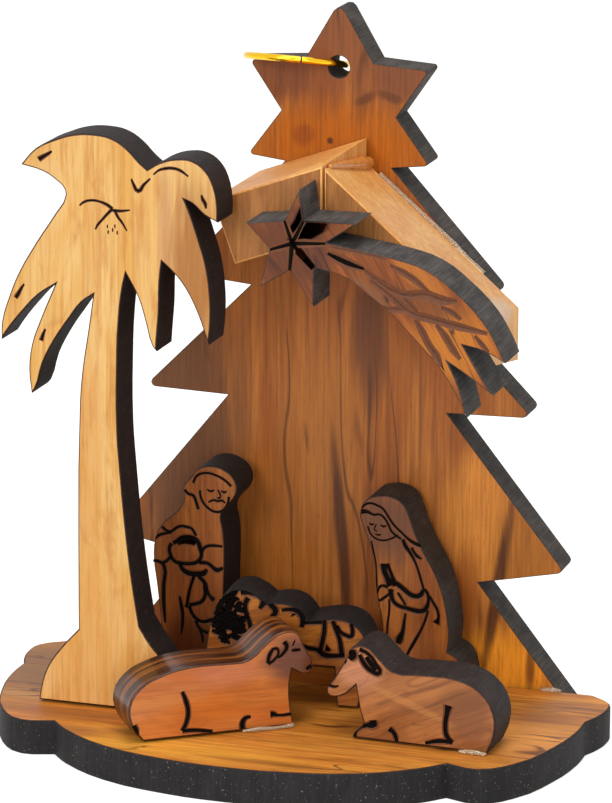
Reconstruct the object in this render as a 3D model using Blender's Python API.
# Olive wood nativity scene: laser-cut plates glued to a scalloped base, with a hanging ring.
# Lengths below are in millimetres. The back edge of the base meets the front face of the tree.
# Outline points are (across, up) from the tree's foot line, or (along, up) from a turned plate's corner.

import math

import bmesh
import bpy
from mathutils import Vector

MM = 0.001
SHARP = True

# Stock the plates are cut from, and the glue line between two pieces
BASE_THICKNESS = 4.6
TREE_THICKNESS = 5.0
PALM_THICKNESS = 6.0
FIGURE_THICKNESS = 6.8
COMET_THICKNESS = 6.8
GLUE_LINE = 0.25

# Base: half widths and depths of its lobes, measured from the back edge
BASE_BACK_HALF_WIDTH = 36.4
BASE_HALF_WIDTH = 39.7
SIDE_NOTCH = (38.3, 10.8)
FRONT_NOTCH = (26.0, 32.0)
BASE_DEPTH = 42.2

# Tree: height of its top point, and the corners down one side as half widths with
# drops below the top in the star, or heights above the table in the tiers
TREE_CENTRE_X = 1.3
TREE_HEIGHT = 93.4
STAR_UPPER_NOTCH = (4.6, 7.8)
STAR_TIP = (12.0, 8.3)
STAR_WAIST = (7.7, 14.6)
STAR_LOWER_TIP = (12.2, 20.6)
STAR_NECK = (7.2, 21.2)
TIER_TIPS = ((21.6, 56.4), (26.4, 40.8), (31.0, 20.6))
TIER_NOTCHES = ((11.8, 55.5), (14.9, 40.5), (19.4, 18.2))
TREE_FOOT_HALF_WIDTH = 33.9
TOP_RADIUS = 0.9
STAR_TIP_RADIUS = 0.4
TIER_TIP_RADIUS = 0.6

# Hanging ring, and the hole it swings in
RING_RADIUS = 6.45
WIRE_RADIUS = 0.45
RING_SPLIT_DEG = 5.0
RING_SPLIT_AT_DEG = -84.0
RING_REST_DEG = 1.5
RING_TILT_DEG = 12.0
RING_STEPS = 48
HOLE_DROP = 8.5
HOLE_HEIGHT = TREE_HEIGHT - HOLE_DROP
HOLE_STEPS = 24
RING_DROP = 0.1
RING_CLEARANCE = 0.12

# Roof: the ridge and the two sawn slabs; the right one sits lower at the back
ROOF_DEPTH = 18.8
RIDGE_X = 5.2
RIDGE_HEIGHT = 76.0
LEFT_SLAB_SLOPE_DEG = 20.0
LEFT_SLAB_THICKNESS = 8.6
LEFT_SLAB_REACH = 14.4
RIGHT_SLAB_SLOPE_DEG = 40.5
RIGHT_SLAB_THICKNESS = 5.2
RIGHT_SLAB_REACH = 20.2
RIGHT_SLAB_DROP = 3.4
RIGHT_SLAB_RISE = 3.2

# Where the front faces of the standing plates are, in front of the tree
PALM_FRONT = 25.5
JOSEPH_FRONT = 9.0
MARY_FRONT = 7.7
MANGER_FRONT = 16.5
MANGER_TURN_DEG = 5.0
LEFT_ANIMAL_CORNER = (-12.0, 36.8)
LEFT_ANIMAL_TURN_DEG = 37.5
RIGHT_ANIMAL_CORNER = (12.3, 27.1)
RIGHT_ANIMAL_TURN_DEG = -2.0

CURVE_STEPS = 3
SMOOTH_ANGLE_DEG = 35.0

# The origin is under the middle of the whole object's depth, the ring included
RING_PLANE = TREE_THICKNESS / 2
RING_DEPTH = RING_RADIUS * math.cos(math.radians(RING_TILT_DEG))
REAR_REACH = max(TREE_THICKNESS, RING_PLANE + RING_DEPTH + WIRE_RADIUS)
TREE_FRONT_Y = (BASE_DEPTH + GLUE_LINE - REAR_REACH) / 2
STANDING_HEIGHT = BASE_THICKNESS + GLUE_LINE

PALM_OUTLINE = [
    (-30.6, 0, SHARP), (-30.4, 1.3), (-29.5, 4.3), (-27.5, 7.3), (-25.1, 10.0, SHARP),
    (-25.1, 14.0), (-24.7, 40.0), (-24.3, 44.4), (-23.5, 49.4), (-22.8, 54.1, SHARP),
    (-24.3, 53.0), (-25.9, 50.9), (-28.0, 47.8), (-29.6, 44.7), (-30.7, 41.2), (-31.2, 40.6, SHARP),
    (-31.5, 43.7), (-31.1, 47.0), (-30.0, 50.1), (-27.9, 55.0, SHARP),
    (-30.0, 53.6), (-32.1, 51.4), (-34.2, 48.8), (-35.2, 47.3, SHARP),
    (-35.1, 49.7), (-34.1, 53.0), (-32.8, 56.1), (-30.4, 60.2), (-27.8, 64.1), (-26.4, 66.5),
    (-26.6, 67.5), (-27.6, 68.4), (-29.3, 69.4), (-32.3, 70.1, SHARP),
    (-30.3, 72.3), (-27.7, 73.6), (-25.2, 74.4), (-22.6, 74.6), (-20.1, 74.2), (-18.0, 72.9),
    (-16.6, 71.5), (-15.5, 70.6, SHARP), (-13.8, 71.6), (-11.6, 72.2), (-9.6, 72.1), (-7.8, 70.9),
    (-6.8, 69.1), (-6.3, 66.7), (-6.3, 64.5, SHARP), (-8.1, 65.4), (-9.6, 66.7), (-10.6, 67.1, SHARP),
    (-9.8, 65.2), (-8.7, 62.0), (-7.8, 59.0), (-7.3, 55.6), (-7.2, 52.0), (-7.5, 48.8, SHARP),
    (-8.1, 50.5), (-9.1, 53.1), (-10.6, 55.9), (-12.1, 57.7), (-13.6, 59.0, SHARP),
    (-13.9, 56.4), (-14.0, 52.7), (-14.3, 49.0), (-14.4, 47.4, SHARP),
    (-15.0, 48.2), (-15.8, 51.0), (-16.8, 54.2), (-18.4, 57.1, SHARP),
    (-18.8, 55.4), (-19.3, 51.5), (-19.6, 45.0), (-19.6, 36.7), (-19.2, 31.0), (-18.5, 23.4),
    (-17.8, 17.6), (-16.8, 11.2, SHARP), (-15.4, 9.0), (-13.9, 7.2), (-12.8, 4.4), (-12.6, 0, SHARP),
]

COMET_OUTLINE = [
    (4.5, 74.4, SHARP), (2.6, 70.4, SHARP), (-2.4, 69.8, SHARP), (0.7, 66.7, SHARP),
    (-0.6, 61.8, SHARP), (3.3, 64.2, SHARP), (6.4, 59.8, SHARP), (6.4, 64.8, SHARP),
    (10.7, 63.7), (13.2, 62.0), (16.3, 59.7), (18.9, 57.2), (21.2, 54.9), (22.9, 53.0),
    (25.1, 49.6), (26.2, 47.3, SHARP), (25.2, 51.0), (23.7, 54.2, SHARP), (26.8, 52.3), (29.5, 50.4, SHARP),
    (27.6, 53.2), (25.6, 56.5, SHARP), (28.4, 55.9), (31.0, 54.6, SHARP),
    (29.9, 56.9), (28.1, 59.7), (24.8, 62.9), (21.0, 65.5), (16.7, 66.7), (12.2, 67.4),
    (8.0, 68.0, SHARP), (11.9, 70.7, SHARP), (5.1, 70.6, SHARP),
]

JOSEPH_OUTLINE = [
    (-19.6, 0, SHARP), (-19.8, 6.2), (-20.4, 12.0), (-20.8, 15.1), (-20.6, 17.9), (-19.9, 19.6),
    (-18.7, 20.9), (-17.2, 22.3), (-16.6, 23.6), (-16.7, 25.2), (-15.7, 26.6), (-14.6, 27.9),
    (-12.7, 28.4), (-10.8, 27.9), (-9.7, 26.9), (-9.3, 25.6), (-9.8, 24.2), (-10.9, 23.0),
    (-11.5, 21.8), (-11.2, 20.0), (-11.0, 17.6), (-11.1, 11.3), (-10.9, 4.0), (-10.8, 0, SHARP),
]

MARY_OUTLINE = [
    (9.4, 0, SHARP), (9.8, 4.5), (10.0, 9.0), (9.4, 12.2), (9.1, 14.3), (9.0, 16.8), (8.4, 19.2),
    (7.4, 21.6), (6.9, 23.6), (7.8, 25.4), (9.5, 26.1), (11.2, 26.1), (12.6, 25.4), (13.5, 23.9),
    (14.1, 22.2), (14.8, 20.6), (15.6, 19.0), (17.2, 16.2), (18.2, 13.6), (18.8, 10.9), (19.1, 8.5),
    (18.9, 6.0, SHARP), (20.3, 5.2), (21.2, 3.4), (21.4, 0, SHARP),
]

MANGER_OUTLINE = [
    (-10.2, 0, SHARP), (-10.8, 4.0), (-10.5, 8.0), (-9.7, 11.4), (-8.4, 13.7), (-6.4, 14.6),
    (-4.4, 14.1), (-2.7, 12.9, SHARP), (-1.0, 13.2), (0.6, 13.0), (1.9, 12.2), (2.8, 11.0, SHARP),
    (4.6, 11.4), (7.0, 11.6), (9.0, 10.9), (10.3, 9.2), (10.6, 6.0), (10.0, 3.0), (9.4, 0, SHARP),
    (6.6, 0, SHARP), (6.2, 5.2, SHARP), (-7.0, 5.2, SHARP), (-7.4, 0, SHARP),
]

LEFT_ANIMAL_OUTLINE = [
    (-0.3, 0, SHARP), (-1.6, 1.8), (-2.1, 4.6), (-0.6, 7.0), (2.2, 8.4), (5.5, 9.1), (8.6, 9.2),
    (11.2, 9.1), (13.7, 9.3), (16.2, 11.3), (18.4, 12.5), (20.3, 12.1), (21.0, 10.5), (22.3, 7.7),
    (21.7, 6.6), (19.5, 7.4, SHARP), (19.2, 5.4), (19.4, 2.0), (19.8, 0, SHARP),
]

RIGHT_ANIMAL_OUTLINE = [
    (-0.2, 0, SHARP), (0.2, 0.8), (1.2, 1.6), (0.8, 3.6), (0.2, 6.8, SHARP), (-1.8, 5.2),
    (-3.6, 5.4), (-2.6, 7.6), (-1.1, 10.3), (-0.4, 11.7), (1.4, 12.2), (3.4, 10.7), (5.1, 9.3),
    (8.8, 9.3), (13.6, 9.2), (16.6, 7.9), (18.4, 5.3), (18.5, 2.4), (17.6, 0, SHARP),
]


def wood(name, colour, roughness):
    material = bpy.data.materials.new(name)
    material.use_nodes = True
    shader = material.node_tree.nodes["Principled BSDF"]
    shader.inputs["Base Color"].default_value = (*colour, 1.0)
    shader.inputs["Roughness"].default_value = roughness
    material.diffuse_color = (*colour, 1.0)
    return material


def gold(name):
    material = wood(name, (0.86, 0.62, 0.18), 0.22)
    material.node_tree.nodes["Principled BSDF"].inputs["Metallic"].default_value = 1.0
    return material


def add_loop(curve, points):
    """A closed loop of the outline: a corner keeps straight handles, a plain point is smooth."""
    spline = curve.splines.new("BEZIER")
    spline.bezier_points.add(len(points) - 1)
    for knot, point in zip(spline.bezier_points, points):
        knot.co = (point[0] * MM, point[1] * MM, 0.0)
        kind = "VECTOR" if len(point) == 3 else "AUTO"
        knot.handle_left_type = kind
        knot.handle_right_type = kind
    spline.use_cyclic_u = True
    spline.resolution_u = CURVE_STEPS


def add_polygon(curve, points):
    spline = curve.splines.new("POLY")
    spline.points.add(len(points) - 1)
    for knot, point in zip(spline.points, points):
        knot.co = (point[0] * MM, point[1] * MM, 0.0, 1.0)
    spline.use_cyclic_u = True


def finish_mesh(name, curve, material):
    """Turn a curve into a closed mesh object, with its caps welded on."""
    guide = bpy.data.objects.new(name + "_curve", curve)
    bpy.context.scene.collection.objects.link(guide)
    evaluated = guide.evaluated_get(bpy.context.evaluated_depsgraph_get())
    mesh = bpy.data.meshes.new_from_object(evaluated)
    bpy.data.objects.remove(guide)
    work = bmesh.new()
    work.from_mesh(mesh)
    bmesh.ops.remove_doubles(work, verts=work.verts, dist=0.001 * MM)
    bmesh.ops.recalc_face_normals(work, faces=work.faces)
    work.to_mesh(mesh)
    work.free()
    mesh.name = name
    mesh.materials.clear()
    mesh.materials.append(material)
    mesh.shade_smooth()
    mesh.set_sharp_from_angle(angle=math.radians(SMOOTH_ANGLE_DEG))
    part = bpy.data.objects.new(name, mesh)
    parts.objects.link(part)
    return part


def flat_curve(name, thickness):
    curve = bpy.data.curves.new(name, "CURVE")
    curve.dimensions = "2D"
    curve.fill_mode = "BOTH"
    curve.extrude = thickness * MM / 2
    return curve


def stand(part, thickness, front, corner_x=0.0, height=0.0, turn_deg=0.0):
    """Stand a flat plate up, with its front face that far in front of the tree."""
    turn = math.radians(turn_deg)
    back_by_half = Vector((-math.sin(turn), math.cos(turn), 0.0)) * (thickness / 2)
    place = Vector((corner_x, TREE_FRONT_Y - front, height)) + back_by_half
    part.rotation_euler = (math.radians(90), 0.0, turn)
    part.location = place * MM
    return part


def rounded_corner(before, corner, after, radius, steps=3):
    """Points of the arc that rounds one corner of a polygon; slerp gives unit vectors."""
    corner = Vector(corner)
    inward = (Vector(before) - corner).normalized()
    onward = (Vector(after) - corner).normalized()
    half_angle = inward.angle(onward) / 2
    setback = radius / math.tan(half_angle)
    centre = corner + (inward + onward).normalized() * (radius / math.sin(half_angle))
    start = corner + inward * setback - centre
    end = corner + onward * setback - centre
    return [centre + start.slerp(end, step / steps) * radius for step in range(steps + 1)]


def star_corner(corner):
    half_width, drop = corner
    return (half_width, TREE_HEIGHT - drop)


def tree_side():
    """Corners down the right side of the tree, from the top point; tips are rounded."""
    top = (0.0, TREE_HEIGHT)
    star = (STAR_UPPER_NOTCH, STAR_TIP, STAR_WAIST, STAR_LOWER_TIP, STAR_NECK)
    corners = [top] + [star_corner(corner) for corner in star]
    tips = {star_corner(STAR_TIP): STAR_TIP_RADIUS, star_corner(STAR_LOWER_TIP): STAR_TIP_RADIUS}
    for tip, notch in zip(TIER_TIPS, TIER_NOTCHES):
        corners += [tip, notch]
        tips[tip] = TIER_TIP_RADIUS
    corners.append((TREE_FOOT_HALF_WIDTH, 0.0))
    side = []
    for before, corner, after in zip(corners, corners[1:], corners[2:]):
        if corner in tips:
            side += rounded_corner(before, corner, after, tips[corner])
        else:
            side.append(Vector(corner))
    side.append(Vector(corners[-1]))
    mirror = Vector((-corners[1][0], corners[1][1]))
    top_arc = rounded_corner(mirror, top, corners[1], TOP_RADIUS)
    return top_arc, side


def hole_radius():
    """The wire arches and slants through the hole; it clears the hole at every angle of its swing."""
    arch = RING_RADIUS - math.sqrt(RING_RADIUS ** 2 - RING_PLANE ** 2)
    slant = RING_PLANE * math.tan(math.radians(RING_TILT_DEG))
    inner_side = RING_RADIUS - math.sqrt((RING_RADIUS - WIRE_RADIUS) ** 2 - RING_PLANE ** 2)
    return RING_DROP + math.hypot(arch, slant) + (inner_side - arch) + RING_CLEARANCE


def make_base():
    half = [
        (BASE_BACK_HALF_WIDTH, 0.0, SHARP),
        (BASE_HALF_WIDTH - 0.4, 2.6), (BASE_HALF_WIDTH, 5.2), (BASE_HALF_WIDTH - 0.5, 8.4),
        (*SIDE_NOTCH, SHARP),
        (SIDE_NOTCH[0], SIDE_NOTCH[1] + 4.0), (SIDE_NOTCH[0] - 1.2, SIDE_NOTCH[1] + 11.0),
        (FRONT_NOTCH[0] + 8.0, FRONT_NOTCH[1] - 2.4), (FRONT_NOTCH[0] + 4.2, FRONT_NOTCH[1] + 0.9),
        (*FRONT_NOTCH, SHARP),
        (FRONT_NOTCH[0] - 2.6, FRONT_NOTCH[1] + 2.8), (FRONT_NOTCH[0] * 0.64, BASE_DEPTH - 3.0),
        (FRONT_NOTCH[0] * 0.3, BASE_DEPTH - 0.6),
    ]
    back = TREE_FRONT_Y - GLUE_LINE
    right = [(x, back - depth, *kind) for x, depth, *kind in half]
    left = [(-x, y, *kind) for x, y, *kind in reversed(right)]
    front = [(0.0, back - BASE_DEPTH)]
    curve = flat_curve("base", BASE_THICKNESS)
    add_loop(curve, right + front + left)
    part = finish_mesh("base", curve, wood("base_wood", (0.62, 0.32, 0.10), 0.45))
    part.location.z = BASE_THICKNESS / 2 * MM


def make_tree():
    top_arc, side = tree_side()
    outline = top_arc + side + [Vector((-point.x, point.y)) for point in reversed(side)]
    radius = hole_radius()
    hole = []
    for step in range(HOLE_STEPS):
        angle = 2 * math.pi * step / HOLE_STEPS
        hole.append((radius * math.cos(angle), HOLE_HEIGHT + radius * math.sin(angle)))
    curve = flat_curve("tree_backboard", TREE_THICKNESS)
    add_polygon(curve, outline)
    add_polygon(curve, hole)
    part = finish_mesh("tree_backboard", curve, wood("tree_wood", (0.50, 0.22, 0.07), 0.42))
    stand(part, TREE_THICKNESS, 0.0, TREE_CENTRE_X)


def make_ring():
    """A split jump ring that passes round the star's left point, its front a little raised.

    Its origin is on the swing axis, where the wire passes the hole.
    """
    curve = bpy.data.curves.new("hanging_ring", "CURVE")
    curve.dimensions = "3D"
    curve.bevel_depth = WIRE_RADIUS * MM
    curve.bevel_resolution = 2
    curve.use_fill_caps = True
    spline = curve.splines.new("POLY")
    spline.points.add(RING_STEPS)
    for step, knot in enumerate(spline.points):
        around = RING_SPLIT_AT_DEG + RING_SPLIT_DEG / 2 + (360 - RING_SPLIT_DEG) * step / RING_STEPS
        angle = math.radians(around)
        x = RING_RADIUS * (math.cos(angle) - 1.0)
        knot.co = (x * MM, RING_RADIUS * math.sin(angle) * MM, 0.0, 1.0)
    part = finish_mesh("hanging_ring", curve, gold("gilt_wire"))
    pivot = Vector((TREE_CENTRE_X, TREE_FRONT_Y + RING_PLANE, HOLE_HEIGHT - RING_DROP))
    part.location = pivot * MM
    part.rotation_euler = (math.radians(-RING_TILT_DEG), math.radians(RING_REST_DEG), 0.0)


def make_left_slab():
    slope = math.radians(LEFT_SLAB_SLOPE_DEG)
    along = Vector((math.cos(slope), math.sin(slope)))
    down = Vector((math.sin(slope), -math.cos(slope))) * LEFT_SLAB_THICKNESS
    ridge = Vector((RIDGE_X, RIDGE_HEIGHT))
    eave = ridge - along * (LEFT_SLAB_REACH / math.cos(slope))
    plumb_foot = ridge - Vector((0.0, LEFT_SLAB_THICKNESS / math.cos(slope)))
    curve = flat_curve("roof_left", ROOF_DEPTH)
    add_polygon(curve, [ridge, eave, eave + down, plumb_foot])
    part = finish_mesh("roof_left", curve, wood("sawn_wood_left", (0.80, 0.52, 0.28), 0.6))
    stand(part, ROOF_DEPTH, ROOF_DEPTH + GLUE_LINE)


def make_right_slab():
    slope = math.radians(RIGHT_SLAB_SLOPE_DEG)
    top = Vector((RIDGE_X + GLUE_LINE, RIDGE_HEIGHT - RIGHT_SLAB_DROP))
    eave = top + Vector((RIGHT_SLAB_REACH, -RIGHT_SLAB_REACH * math.tan(slope)))
    plumb = Vector((0.0, RIGHT_SLAB_THICKNESS / math.cos(slope)))
    curve = flat_curve("roof_right", ROOF_DEPTH)
    add_polygon(curve, [top, top - plumb, eave - plumb, eave])
    part = finish_mesh("roof_right", curve, wood("sawn_wood_right", (0.82, 0.56, 0.32), 0.6))
    for vertex in part.data.vertices:
        if vertex.co.z > 0:
            vertex.co.y += RIGHT_SLAB_RISE * MM
    stand(part, ROOF_DEPTH, ROOF_DEPTH + GLUE_LINE)


def make_plate(name, outline, thickness, colour, front, corner_x=0.0, height=0.0, turn_deg=0.0):
    curve = flat_curve(name, thickness)
    add_loop(curve, outline)
    part = finish_mesh(name, curve, wood(name + "_wood", colour, 0.45))
    return stand(part, thickness, front, corner_x, height, turn_deg)


for old in list(bpy.data.objects):
    bpy.data.objects.remove(old, do_unlink=True)

parts = bpy.data.collections.new("olive_wood_nativity_scene")
bpy.context.scene.collection.children.link(parts)

make_base()
make_tree()
make_left_slab()
make_right_slab()
make_plate("palm_tree", PALM_OUTLINE, PALM_THICKNESS, (0.78, 0.50, 0.20), PALM_FRONT, 0.0, STANDING_HEIGHT)
make_plate("comet_star", COMET_OUTLINE, COMET_THICKNESS, (0.40, 0.17, 0.07),
           ROOF_DEPTH + COMET_THICKNESS + 2 * GLUE_LINE)
make_plate("joseph_figure", JOSEPH_OUTLINE, FIGURE_THICKNESS, (0.50, 0.25, 0.09), JOSEPH_FRONT, 0.0,
           STANDING_HEIGHT)
make_plate("mary_figure", MARY_OUTLINE, FIGURE_THICKNESS, (0.48, 0.24, 0.09), MARY_FRONT, 0.0,
           STANDING_HEIGHT)
make_plate("manger_baby", MANGER_OUTLINE, FIGURE_THICKNESS, (0.42, 0.20, 0.08), MANGER_FRONT, 0.0,
           STANDING_HEIGHT, MANGER_TURN_DEG)
make_plate("left_animal", LEFT_ANIMAL_OUTLINE, FIGURE_THICKNESS, (0.46, 0.22, 0.09),
           LEFT_ANIMAL_CORNER[1], LEFT_ANIMAL_CORNER[0], STANDING_HEIGHT, LEFT_ANIMAL_TURN_DEG)
make_plate("right_animal", RIGHT_ANIMAL_OUTLINE, FIGURE_THICKNESS, (0.44, 0.20, 0.08),
           RIGHT_ANIMAL_CORNER[1], RIGHT_ANIMAL_CORNER[0], STANDING_HEIGHT, RIGHT_ANIMAL_TURN_DEG)
make_ring()
